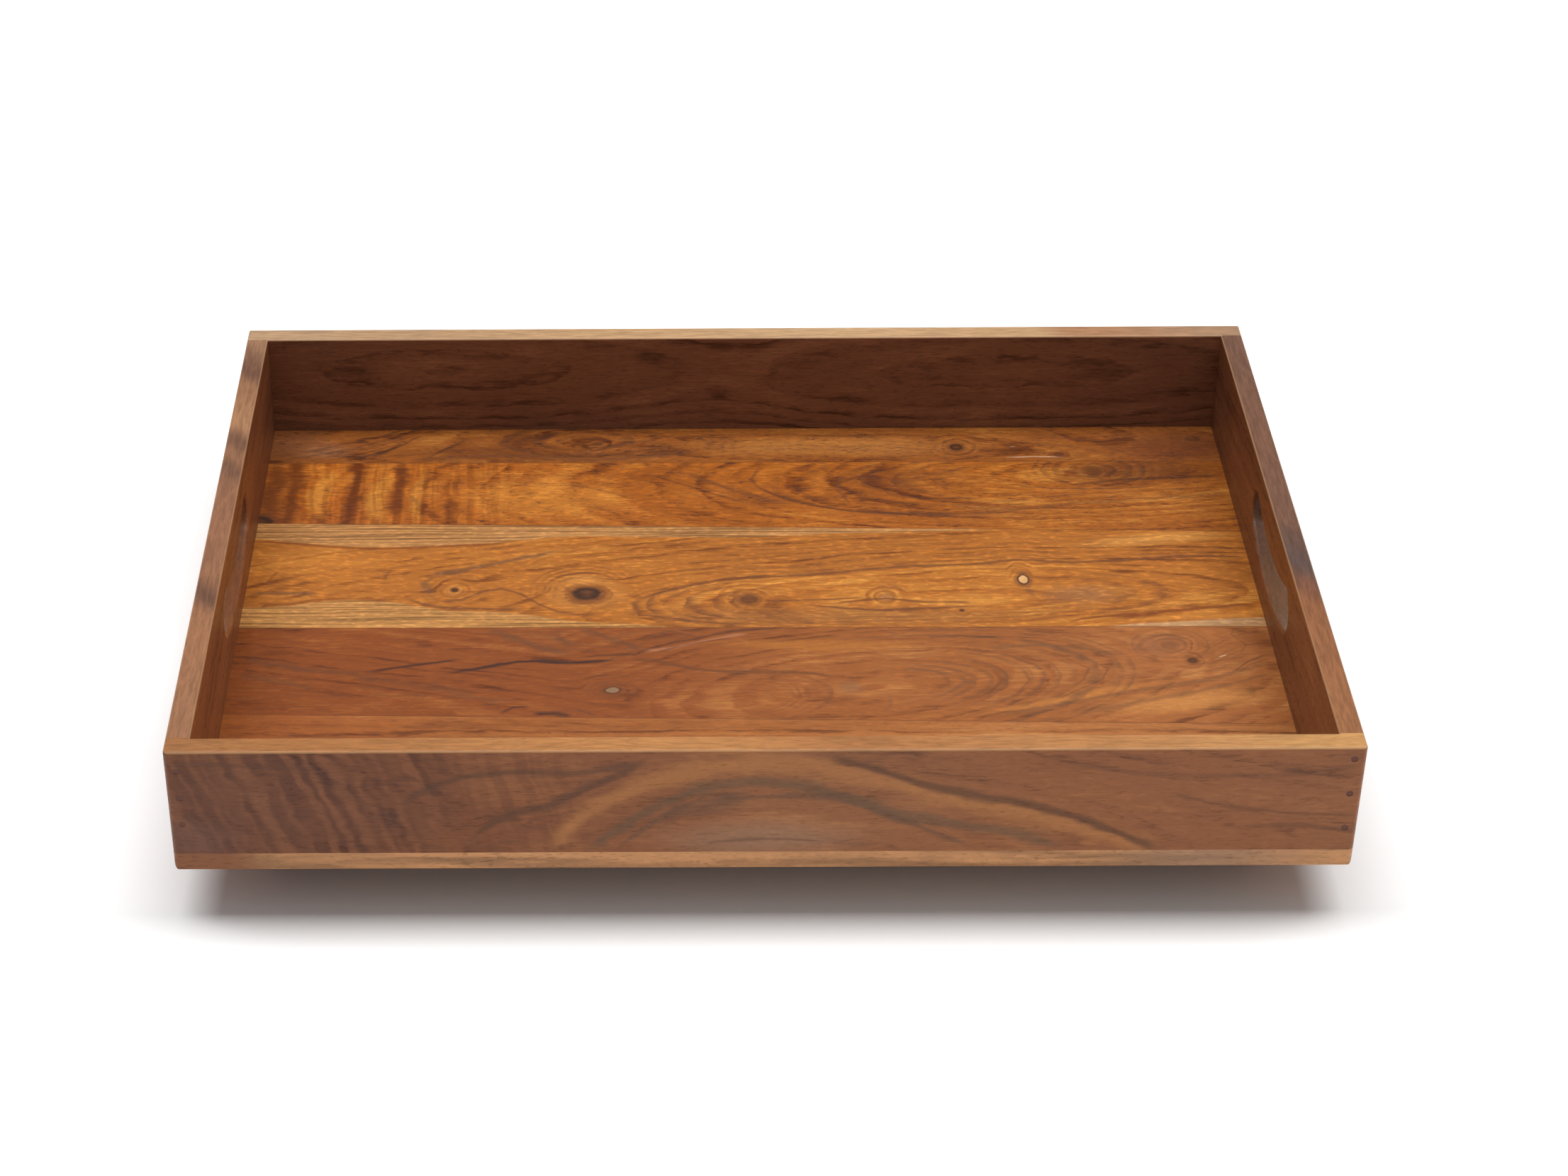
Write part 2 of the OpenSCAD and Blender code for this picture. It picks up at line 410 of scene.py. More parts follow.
def base_colour(t, grain, wood):
    """The wood's own colours, by bands of growth, soft shades, fibres and growth lines."""
    broad = t.line_noise(grain.growth, BAND_SIZE, roughness=0.6)
    shade = t.noise(grain.apart, SHADE_SIZE, detail=3.0, roughness=0.6)
    tone = t.maths("MULTIPLY_ADD", t.maths("SUBTRACT", broad, 0.5), wood.broad * 1.6, 0.56)
    tone = t.maths("MULTIPLY_ADD", t.maths("SUBTRACT", shade, 0.5), 0.9, tone)
    tone = t.maths("MULTIPLY_ADD", t.maths("SUBTRACT", grain.fibres, 0.5), 0.75, tone)
    tone = t.maths("MULTIPLY_ADD", grain.lines, -wood.lines, tone)
    colour = t.mix(t.step(tone, 0.0, 0.5), rgba(wood.deep), rgba(wood.middle))
    colour = t.mix(t.step(tone, 0.5, 1.0), colour, rgba(wood.bright))
    if wood.tint:
        colour = t.tinted(1.0, colour, t.ramp(t.split(grain.bent)[0], wood.tint))
    return colour


def with_patch(t, grain, colour, patch):
    local = t.seen_from(grain.bent, patch.u, patch.v, patch.turn, (*patch.size, EVERY_DEPTH))
    near = t.step(t.vectors("LENGTH", local), 1.0, 0.2, 0.0, patch.strength)
    return t.mix(near, colour, rgba(patch.colour))


def with_region(t, grain, colour, region):
    path = [(u * MM, v * MM) for u, v in region.path]
    off = t.maths("SUBTRACT", grain.flat[1], t.curve(grain.flat[0], path))
    soft = -region.soft * MM if region.below else region.soft * MM
    inside = t.step(off, -soft, soft, 0.0, region.strength)
    dark = rgba([c * (1 - region.lines) for c in region.colour])
    return t.mix(inside, colour, t.mix(t.step(grain.hair, 0.34, 0.6), dark, rgba(region.colour)))


def with_flow(t, grain, colour, flow):
    path = [(u * MM, v * MM) for u, v in flow.path]
    along, across = grain.flat[0], grain.flat[1]
    off = t.maths("SUBTRACT", across, t.curve(along, path))
    lines = growth_lines(t, off, flow.pitch * MM, grain.waver)
    low, high, soft = flow.low * MM, flow.high * MM, flow.pitch * MM
    beside = t.maths("MULTIPLY", t.step(off, low - soft, low + soft), t.step(off, high + soft, high - soft))
    first, last, fade = path[0][0], path[-1][0], flow.fade * MM
    ends = t.maths("MULTIPLY", t.step(along, first - fade, first + fade),
                   t.step(along, last + fade, last - fade))
    shown = t.maths("MULTIPLY", t.maths("MULTIPLY", beside, ends), flow.strength)
    return t.mix(t.maths("MULTIPLY", lines, shown), colour, rgba(flow.colour))


def with_rings(t, grain, colour, rings):
    local = t.seen_from(grain.near, rings.u, rings.v, rings.turn, (rings.long, 1, EVERY_DEPTH))
    far = t.vectors("LENGTH", local)
    lines = growth_lines(t, far, rings.pitch, grain.waver)
    low, high, soft = rings.low, rings.high, rings.pitch
    shown = t.maths("MULTIPLY", t.step(far, low - soft, low + soft), t.step(far, high + soft, high - soft))
    shown = t.maths("MULTIPLY", shown, rings.strength)
    if rings.facing is not None:
        ahead = math.radians(rings.facing)
        side = t.vectors("DOT_PRODUCT", local, (math.cos(ahead), math.sin(ahead), 0))
        shown = t.maths("MULTIPLY", shown, t.step(side, -0.1 * rings.high, 0.6 * rings.high))
    return t.mix(t.maths("MULTIPLY", lines, shown), colour, rgba(rings.colour))


def with_ripple(t, grain, colour, ripple):
    """Bands across the grain, lighter and darker in turn, from low to high along u."""
    along = t.split(grain.place)[0]
    leaned = t.split(t.seen_from(grain.apart, 0, 0, ripple.lean))[0]
    wobble = t.noise(grain.apart, WOBBLE_SIZE)
    across = t.maths("MULTIPLY_ADD", wobble, ripple.pitch * 1.5, leaned)
    bands = t.step(t.line_noise(across, ripple.pitch, detail=1.0), 0.34, 0.66)
    inside = t.maths("MULTIPLY", t.step(along, ripple.low - ripple.fade, ripple.low + ripple.fade),
                     t.step(along, ripple.high + ripple.fade, ripple.high - ripple.fade))
    patchy = t.step(wobble, 0.35, 0.6, 0.35, 1.0)
    inside = t.maths("MULTIPLY", t.maths("MULTIPLY", inside, patchy), ripple.strength)
    swing = t.mix(bands, rgba(RIPPLE_DARK), rgba(RIPPLE_LIGHT))
    return t.tinted(inside, colour, swing)


def with_knot(t, grain, colour, knot):
    """A dark core in a brown ring, at distances of so many radii, and what lies round and in it."""
    local = t.seen_from(grain.near, knot.u, knot.v, knot.turn, (knot.r * knot.long, knot.r, EVERY_DEPTH))
    uneven = t.maths("SUBTRACT", grain.waver, 0.5)
    far = t.maths("MULTIPLY_ADD", uneven, 0.5, t.vectors("LENGTH", local))
    if knot.halo:
        pale = t.maths("MULTIPLY", t.step(far, 1.1, 1.7), t.step(far, 3.2, 1.9, 0.0, knot.halo))
        colour = t.mix(pale, colour, rgba(PALE))
    colour = t.mix(t.step(far, 1.9, 1.0, 0.0, 0.75 * knot.dark), colour, rgba(KNOT_RING))
    colour = t.mix(t.step(far, 1.1, 0.75, 0.0, knot.dark), colour, rgba(KNOT_CORE))
    if knot.heart:
        return t.mix(t.step(far, 0.8, 0.6), colour, rgba(knot.heart))
    return t.mix(t.step(far, 0.7, 0.1, 0.0, 0.55 * knot.dark), colour, rgba(KNOT_RING))


def with_streak(t, grain, colour, streak):
    flat = grain.straight if streak.straight else grain.flat
    along, across = (flat[1], flat[0]) if streak.upright else (flat[0], flat[1])
    path = [(v * MM, u * MM) if streak.upright else (u * MM, v * MM) for u, v in streak.path]
    off = t.maths("ABSOLUTE", t.maths("SUBTRACT", across, t.curve(along, path)))
    off = t.maths("MULTIPLY", off, grain.thinner)
    near = t.step(off, streak.width * MM, streak.width * 0.1 * MM, 0.0, streak.strength)
    first, last = path[0][0], path[-1][0]
    fade = min(streak.fade * MM, (last - first) / 2)
    ends = t.maths("MULTIPLY", t.step(along, first, first + fade), t.step(along, last, last - fade))
    return t.mix(t.maths("MULTIPLY", near, ends), colour, rgba(streak.colour))


def with_features(t, grain, colour, wood):
    """All that is placed one by one, the soft shades first and the sharp lines last."""
    drawn = (
        (with_patch, wood.patches),
        (with_region, wood.regions),
        (with_flow, wood.flows),
        (with_rings, wood.rings),
        (with_ripple, wood.ripples),
        (with_knot, wood.knots),
        (with_streak, wood.streaks),
    )
    for draw, features in drawn:
        for feature in features:
            colour = draw(t, grain, colour, feature)
    return colour


def with_flecks(t, grain, colour, wood):
    """Short bright flecks where the fibres curl, and the dark dashes of open pores."""
    flecks = t.noise(grain.fibre_place, FLECK_SIZE, detail=1.0)
    colour = t.tinted(t.step(flecks, 0.5, 0.72), colour, grey(1.0 + wood.curl))
    return t.tinted(grain.pores, colour, grey(1.0 - wood.pores))


def with_slot(t, grain, colour, stops):
    """The unfinished wood inside a hand slot, where an end board's surface doesn't face along X, darker
    towards the slot's back end with painted shade.
    """
    normal = t.add("ShaderNodeNewGeometry", {}).outputs["Normal"]
    outward = t.maths("ABSOLUTE", t.split(normal)[0])
    # the slot's colours darken towards its back end: painted shade
    slot_wood_and_shade = t.ramp(t.split(grain.place)[0], stops)
    streaked = t.tinted(t.step(grain.fibres, 0.68, 0.32), slot_wood_and_shade, grey(0.72))
    return t.mix(t.step(outward, 0.75, 0.35, 0.0, 0.9), colour, streaked)


def with_rim(t, grain, colour, stops):
    """The top of a wall: sanded wood whose colour is partly a painted highlight and reflection of the
    overhead light, with a painted highlight on its eased edges.
    """
    normal = t.add("ShaderNodeNewGeometry", {}).outputs["Normal"]
    u, v, w = t.split(grain.place)
    at_top = t.step(v, TRAY_TOP - RIM_T, TRAY_TOP - RIM_T + 1)
    up = t.maths("MULTIPLY", t.vectors("DOT_PRODUCT", normal, UP), at_top)
    light = t.ramp(t.maths("MULTIPLY_ADD", w, 0.8, u), stops)
    streaked = t.tinted(t.step(grain.fibres, 0.68, 0.32), light, grey(0.68))
    colour = t.mix(t.step(up, 0.3, 0.9, 0.0, 0.92), colour, streaked)
    # painted highlight: the eased edges are lightened where the overhead light catches them
    edge = t.maths("MULTIPLY", t.step(up, 0.15, 0.5), t.step(up, 0.98, 0.75))
    return t.mix(t.maths("MULTIPLY", edge, 0.35), colour, rgba(RIM_HIGHLIGHT))


def wood_material(name, wood, axes, face, seams=()):
    """A finished material for a piece whose visible face is at face along the third of axes."""
    t = Tree(name)
    grain = Grain(t, wood, axes, face)
    colour = with_features(t, grain, base_colour(t, grain, wood), wood)
    colour = with_flecks(t, grain, colour, wood)
    if wood.slot:
        colour = with_slot(t, grain, colour, wood.slot)
    if wood.rim:
        colour = with_rim(t, grain, colour, wood.rim)
    for seam in seams:
        colour = with_streak(t, grain, colour, seam)

    sheen = t.noise(grain.apart, SHEEN_SIZE, detail=3.0)
    rough = t.maths("MULTIPLY_ADD", t.maths("SUBTRACT", sheen, 0.5), 0.2, wood.gloss)
    rough = t.maths("MULTIPLY_ADD", grain.pores, 0.2, rough, clamp=True)
    relief = t.maths("MULTIPLY_ADD", grain.pores, -0.8, grain.fibres)
    bump = t.add("ShaderNodeBump", {"Height": relief, "Strength": 0.3, "Distance": 0.1 * MM})
    return t.finish(Base_Color=colour, Roughness=rough, Normal=bump.outputs[0], Specular_IOR_Level=0.28)


def plain_material(name, colours, roughness, metallic, size):
    """Two colours in fine grains, for filler and for brads."""
    t = Tree(name)
    grains = t.noise(grain_place(t, "XYZ", 0), (size,) * 3, detail=3.0)
    colour = t.mix(t.step(grains, 0.35, 0.65), rgba(colours[0]), rgba(colours[1]))
    bump = t.add("ShaderNodeBump", {"Height": grains, "Strength": 0.3, "Distance": 0.05 * MM})
    rough = t.step(grains, 0.2, 0.8, roughness, roughness + 0.15)
    return t.finish(Base_Color=colour, Roughness=rough, Metallic=metallic, Normal=bump.outputs[0])


# ---- the tray's own boards ----

SAPWOOD = (0.47, 0.22, 0.064)
GREY_SAPWOOD = (0.44, 0.205, 0.066)
BLACK = (0.035, 0.014, 0.010)
REDDISH = (0.16, 0.040, 0.008)
BROWN = (0.12, 0.040, 0.014)
GREYISH = (0.15, 0.062, 0.024)
GOLD = (0.55, 0.25, 0.055)
SOFT_BROWN = (0.12, 0.045, 0.018)
RAIL_BROWN = (0.10, 0.036, 0.014)
SCRATCH = (0.6, 0.42, 0.3)
AMBER = (0.50, 0.20, 0.030)

BASE_BOARD_1 = Wood(
    deep=(0.080, 0.019, 0.004), middle=(0.225, 0.066, 0.011), bright=(0.36, 0.135, 0.024),
    swirls=[Swirl(-68, 133, 2.8), Swirl(40, 127, 8), Swirl(150, 140, 2.5, turn=-20, start=3)],
    knots=[
        Knot(92, 127.3, 3.0, dark=0.95, reach=3.0),
        Knot(136.5, 121, 1.6, long=1.8, dark=0.6),
        Knot(196, 133.6, 2.4, long=1.5, dark=0.45),
        Knot(-64, 131, 1.6, long=1.5, dark=0.5),
    ],
    flows=[
        Flow([(-200, 113), (-165, 126), (-140, 141)], -16, 11, 4.2, BLACK, 0.75),
        Flow([(-150, 119), (-102, 123.5), (-67, 120), (-35, 124), (-15, 130)], -6, 5, 2.6, BROWN, 0.55),
        Flow([(-20, 119), (10, 122), (60, 121), (85, 118)], 1, 20, 2.8, BROWN, 0.35),
        Flow([(108, 142), (140, 132), (175, 112)], -14, 14, 3.2, BROWN, 0.45),
        Flow([(165, 128), (206, 124)], -12, 14, 3.0, BROWN, 0.45),
    ],
    rings=[
        Rings(-70, 134, 2.8, 0, 3, 15, 3.0, None, BLACK, 0.65),
        Rings(92, 127.3, 1.8, 0, 4, 12, 2.2, None, BROWN, 0.4),
        Rings(-22, 133, 1.3, 0, 4, 14, 2.6, 0, BROWN, 0.45),
    ],
    streaks=[
        Streak([(-183, 122.5), (-156, 133), (-143, 141)], 1.7, BROWN, 0.5),
        Streak([(-166, 117), (-158, 124), (-150, 131), (-146, 138)], 4.2, BLACK, 0.6),
        Streak([(-172, 118), (-155, 127), (-140, 140)], 1.4, BLACK, 0.6),
        Streak([(-141, 116.5), (-133, 124.5), (-119, 138)], 1.7, BLACK, 0.55),
        Streak([(-105, 140), (-102, 130), (-91, 123.5), (-76, 121.5), (-58, 129), (-35, 135)], 1.8, BROWN,
                0.6),
        Streak([(-145, 117.5), (-102, 122), (-67, 118.5), (-35, 122), (-20, 124)], 3.1, BROWN, 0.6),
        Streak([(-25, 123.5), (-12, 131), (-20, 138)], 1.7, BROWN, 0.5, upright=True),
        Streak([(120, 134), (150, 132), (171, 115)], 1.4, BROWN, 0.5),
        Streak([(118, 130), (145, 127), (164, 116)], 1.4, BROWN, 0.4),
        Streak([(112, 118), (126, 119.5), (140, 118)], 0.7, SCRATCH, 0.5),
        Streak([(115, 124), (116, 127), (119, 129)], 0.56, SCRATCH, 0.35),
    ],
    patches=[
        Patch(-196, 132, (22, 20), (0.16, 0.055, 0.02), 0.75),
        Patch(-182, 126, (16, 10), (0.27, 0.11, 0.045), 0.6),
        Patch(-98, 136, (14, 8), (0.085, 0.022, 0.006), 0.7),
        Patch(-105, 124, (60, 13), (0.13, 0.034, 0.008), 0.6),
        Patch(40, 128, (80, 11), (0.38, 0.15, 0.035), 0.55),
        Patch(190, 126, (42, 20), (0.12, 0.032, 0.010), 0.75),
    ],
    tint=[(-206, (0.95, 0.95, 1.0)), (-60, (1.0, 1.0, 1.0)), (206, (1.0, 1.0, 1.05))],
    seed=1.3, broad=0.6, lines=0.5, pores=0.6, curl=0.2,
)

BASE_BOARD_2 = Wood(
    deep=(0.11, 0.025, 0.004), middle=(0.30, 0.086, 0.0095), bright=(0.53, 0.21, 0.031),
    swirls=[Swirl(150, 106, 3.6, turn=3)],
    knots=[Knot(150, 107, 4.0, dark=0.3, reach=1.8), Knot(-206, 70, 4.0, long=1.6, dark=1.0)],
    flows=[
        Flow([(-75, 116), (-40, 101), (-10, 85), (12, 72)], -16, 22, 5.0, BROWN, 0.4),
        Flow([(30, 84), (60, 77), (90, 74), (135, 81), (206, 88)], -12, 12, 2.8, BROWN, 0.5),
        Flow([(-140, 90), (-80, 92), (-40, 92)], -24, 24, 5.5, BROWN, 0.25),
    ],
    rings=[
        Rings(140, 103, 4.0, 3, 8, 33, 3.4, 195, BLACK, 0.5),
        Rings(150, 108, 1.7, 0, 3, 16, 2.3, None, BLACK, 0.5),
        Rings(70, 112, 2.2, 0, 4, 22, 3.0, 250, BROWN, 0.45),
    ],
    streaks=[
        Streak([(-195, 62), (-193, 90), (-194, 118)], 7.0, (0.12, 0.028, 0.005), 0.85, upright=True,
                fade=2),
        Streak([(-170, 62), (-167.5, 90), (-168, 118)], 6.5, (0.10, 0.022, 0.004), 0.95, upright=True,
                fade=2),
        Streak([(-150, 72), (-148.5, 95), (-149, 118)], 5.0, (0.11, 0.026, 0.005), 0.85, upright=True),
        Streak([(-126, 62), (-126, 90)], 4.5, (0.13, 0.031, 0.005), 0.8, upright=True),
        Streak([(-138, 88), (-137, 114)], 2.2, (0.15, 0.037, 0.006), 0.65, upright=True),
        Streak([(-180, 62), (-181, 78)], 6, (0.12, 0.028, 0.005), 0.75, upright=True),
        Streak([(-157, 62), (-157, 74)], 4, (0.14, 0.032, 0.006), 0.6, upright=True),
        Streak([(-81, 99), (-60, 93), (-45, 84)], 1.2, BROWN, 0.45),
        Streak([(-42, 107), (-22, 95), (2, 82)], 1.9, BLACK, 0.45),
        Streak([(-29, 111), (-3, 92), (20, 82)], 2.8, BROWN, 0.5),
        Streak([(2, 99), (14, 88), (30, 80.5), (46, 76), (90, 73.5)], 1.9, BLACK, 0.6),
        Streak([(13, 90), (2.5, 100), (6, 110), (14, 115)], 1.5, BROWN, 0.6, upright=True),
        Streak([(45, 79), (43, 84), (38, 94), (38.5, 98), (42, 103)], 1.8, BROWN, 0.65, upright=True),
        Streak([(38, 98), (50, 104), (66, 113)], 2.2, BLACK, 0.5),
        Streak([(64.5, 88), (61.5, 93.5), (66, 99)], 1.2, BROWN, 0.5, upright=True),
        Streak([(63, 91), (72, 87), (94, 86)], 1.2, BLACK, 0.55),
        Streak([(62, 97), (78, 104), (100, 112)], 1.8, BROWN, 0.5),
        Streak([(112, 96.5), (140, 93), (180, 96)], 1.1, BLACK, 0.45),
        Streak([(131, 106), (138, 97), (156, 99.5), (206, 103)], 1.9, BLACK, 0.5),
        Streak([(45, 76), (90, 73.5), (135, 81), (206, 88)], 3, BROWN, 0.45),
    ],
    patches=[
        Patch(-202, 92, (9, 50), (0.14, 0.036, 0.008), 0.9),
        Patch(-85, 86, (45, 22), (0.46, 0.17, 0.026), 0.5),
        Patch(62, 104, (32, 12), (0.14, 0.036, 0.006), 0.55),
        Patch(168, 107, (56, 13), (0.105, 0.030, 0.008), 0.75),
        Patch(-181, 92, (7, 26), AMBER, 0.6),
        Patch(-157.5, 88, (7, 30), AMBER, 0.6),
        Patch(-141, 90, (4, 30), AMBER, 0.5),
        Patch(30, 99, (6, 12), (0.42, 0.14, 0.02), 0.5),
    ],
    ripples=[Ripple(-190, -100, 3.4, 2, 0.4)],
    tint=[(-206, (0.96, 0.82, 0.75)), (-110, (1.02, 0.98, 1.0)), (20, (0.98, 0.95, 0.95)),
          (206, (0.90, 0.90, 1.05))],
    seed=2.1, broad=0.45, lines=0.42, pores=0.6, curl=0.3,
)

BASE_BOARD_3 = Wood(
    deep=(0.15, 0.040, 0.006), middle=(0.345, 0.112, 0.0155), bright=(0.53, 0.22, 0.038),
    swirls=[Swirl(88, 9, 5.2, turn=4)],
    knots=[
        Knot(-121, 18.3, 1.4, dark=0.9, halo=0.5, reach=5.0),
        Knot(-67, 14.8, 4.9, long=1.3, halo=0.3, reach=2.2),
        Knot(-0.5, 10, 3.6, long=1.15, dark=0.55, reach=2.4),
        Knot(55.2, 11.2, 3.3, dark=0.32, reach=2.2, heart=(0.34, 0.13, 0.035)),
        Knot(112, 24.2, 4.2, long=0.6, dark=0.9, reach=1.6, heart=(0.55, 0.30, 0.12)),
        Knot(84.7, 1.8, 0.9, dark=0.8),
    ],
    flows=[
        Flow([(-30, 24), (0, 27), (21, 27.5), (52, 32.5), (94, 35.5), (112, 38.5), (131, 36.5),
              (156, 38.5), (206, 39.5)], 1, 22, 3.0, BROWN, 0.42, fade=30),
        Flow([(0, 27), (21, 27.5), (52, 32.5), (94, 35.5), (112, 36.5)], -11, -1, 2.8, BROWN, 0.35),
        Flow([(-94, 31), (-84, 38), (-72, 43), (-60, 44.5), (-29, 45.5), (0, 47.5), (70, 52)], -10, 9,
              2.8, BROWN, 0.45),
        Flow([(-206, 55), (-185, 52), (-162, 49), (-133, 50), (-112, 51.5), (-90, 54)], -10, -1, 2.6,
              REDDISH, 0.55),
        Flow([(-206, 57), (-162, 50), (-112, 52), (-50, 57), (42, 59), (120, 63)], 1, 14, 1.5,
              (0.20, 0.095, 0.035), 0.5),
        Flow([(-206, 6), (-177, 10), (-150, 10), (-123, 3), (-91, 0), (-71, -5), (-40, -10)], -16, -1,
              2.0, (0.27, 0.12, 0.035), 0.55),
        Flow([(-206, 22), (-175, 24), (-140, 20)], -12, 16, 4.5, REDDISH, 0.3),
        Flow([(110, -8), (131, -5), (156, -1.5), (177, 2), (206, 6)], 1, 14, 2.4, BROWN, 0.5),
        Flow([(-30, -8), (20, -9), (80, -7), (120, -5)], 0, 10, 2.4, BROWN, 0.45),
    ],
    rings=[
        Rings(20, 9, 3.2, 2, 9, 22, 2.6, 185, BROWN, 0.75),
        Rings(112, 13, 3.4, 2, 7, 19, 3.0, 0, BROWN, 0.6),
        Rings(-68, 16, 1.15, 0, 7, 22, 2.6, 110, BROWN, 0.85),
        Rings(-121, 18.3, 1.1, 0, 4, 12, 2.3, None, BROWN, 0.3),
        Rings(-0.5, 10, 1.2, 0, 3, 9, 1.7, None, BROWN, 0.4),
    ],
    streaks=[
        Streak([(-206, 55), (-185, 52), (-162, 49), (-133, 50), (-112, 51.5), (-97, 53.5)], 1.6, REDDISH,
                0.75),
        Streak([(-207, 18), (-199, 23), (-194, 29), (-200, 35), (-207, 39)], 1.9, REDDISH, 0.55,
                upright=True),
        Streak([(-206, 15), (-192, 16), (-175, 16)], 2.1, GREYISH, 0.7),
        Streak([(-206, 10.5), (-190, 8), (-175, 11.5), (-158, 12.5), (-146, 10)], 2.6, REDDISH, 0.6),
        Streak([(-142, 13), (-130, 6.5), (-122, 5), (-106, 4), (-90, 3)], 1.9, BROWN, 0.75),
        Streak([(-151, 22), (-150, 29), (-144, 36)], 2.1, BROWN, 0.6, upright=True),
        Streak([(-134, 28), (-128, 30), (-117, 33), (-107, 37), (-91, 42.5), (-78, 46.5)], 3, GREYISH,
                0.75),
        Streak([(-124, 11), (-129, 13), (-133, 19), (-133, 27), (-128, 31)], 3, GREYISH, 0.65,
                upright=True),
        Streak([(-130, 11), (-122, 10), (-116, 11.5), (-110, 16.5), (-105, 19), (-99, 18), (-92, 13.5),
                (-84, 6), (-76, 1), (-60, 0)], 1.8, BROWN, 0.65),
        Streak([(-44, -3), (-48, 6), (-45, 11), (-40, 14)], 3.5, BROWN, 0.7, upright=True),
        Streak([(-47, 10), (-38, 15), (-25, 20), (-12, 24), (0, 26.5), (21, 27.5), (34, 29.5), (52, 32.5),
                (73, 34.5), (94, 35.5), (112, 38.5), (131, 36.5), (156, 38.5), (177, 40.5), (206, 39.5)],
                1.9, BROWN, 0.8),
        Streak([(-46, 1), (-38, -2), (-25, -5), (0, -8)], 1.8, BROWN, 0.7),
        Streak([(-8, 5), (-7.5, 10), (-5, 14)], 1.9, BLACK, 0.5, upright=True),
        Streak([(4, 9), (20, 9.5), (48, 11)], 1.3, BROWN, 0.7),
        Streak([(30, 6.5), (45, 9), (58, 10.5), (65, 8.5), (74, 7.5), (83, 8), (92, 6.5)], 1.4, BROWN,
                0.75),
        Streak([(22, 6.5), (36, 4), (52, 2.5), (73, 3.5), (92, 5)], 1.6, BROWN, 0.75),
        Streak([(116, 11), (113.5, 15), (113, 20)], 2.4, GREYISH, 0.5, upright=True, fade=3),
        Streak([(124, -8), (131, -5), (156, -1.5), (177, 2), (206, 6)], 2.1, REDDISH, 0.8),
    ],
    regions=[
        Region([(-206, 56.5), (-185, 53), (-162, 50), (-133, 50.5), (-112, 52), (-97, 54), (-81, 57),
                (-50, 57), (0, 56), (42, 59), (83, 60), (120, 63), (206, 66)], GREY_SAPWOOD, 0.9, 0.6,
                lines=0.65),
        Region([(-206, 6), (-190, 7), (-177, 10), (-164, 11), (-148, 10), (-133, 6), (-123, 3), (-107, 2),
                (-91, 0), (-71, -5), (-40, -8), (-20, -12)], SAPWOOD, 0.9, 0.6, below=True, lines=0.6),
        Region([(130, -14), (146, -9.5), (167, -7), (206, -3.5)], (0.46, 0.26, 0.12), 0.85, 0.7,
                below=True, lines=0.3),
    ],
    patches=[
        Patch(-175, 33, (40, 14), (0.46, 0.16, 0.022), 0.5),
        Patch(-68, 25, (11, 6), (0.50, 0.20, 0.042), 0.7),
        Patch(-67, 9, (12, 6), (0.20, 0.058, 0.012), 0.55),
        Patch(135, 13, (24, 10), (0.27, 0.11, 0.038), 0.7),
        Patch(56, 18, (6, 5), (0.26, 0.09, 0.022), 0.5),
        Patch(170, 54, (45, 6), GOLD, 0.6, turn=6),
        Patch(176, -3.2, (35, 2.6), (0.50, 0.19, 0.03), 0.6, turn=5),
        Patch(200, 30, (16, 14), (0.24, 0.075, 0.014), 0.5),
        Patch(35, -2, (100, 10), (0.23, 0.090, 0.027), 0.5),
        Patch(-4, 11, (9, 6), (0.24, 0.08, 0.018), 0.5),
    ],
    seed=3.7, wander=4.5, pitch=4.0, broad=0.4, lines=0.45, pores=0.22, curl=0.4,
)

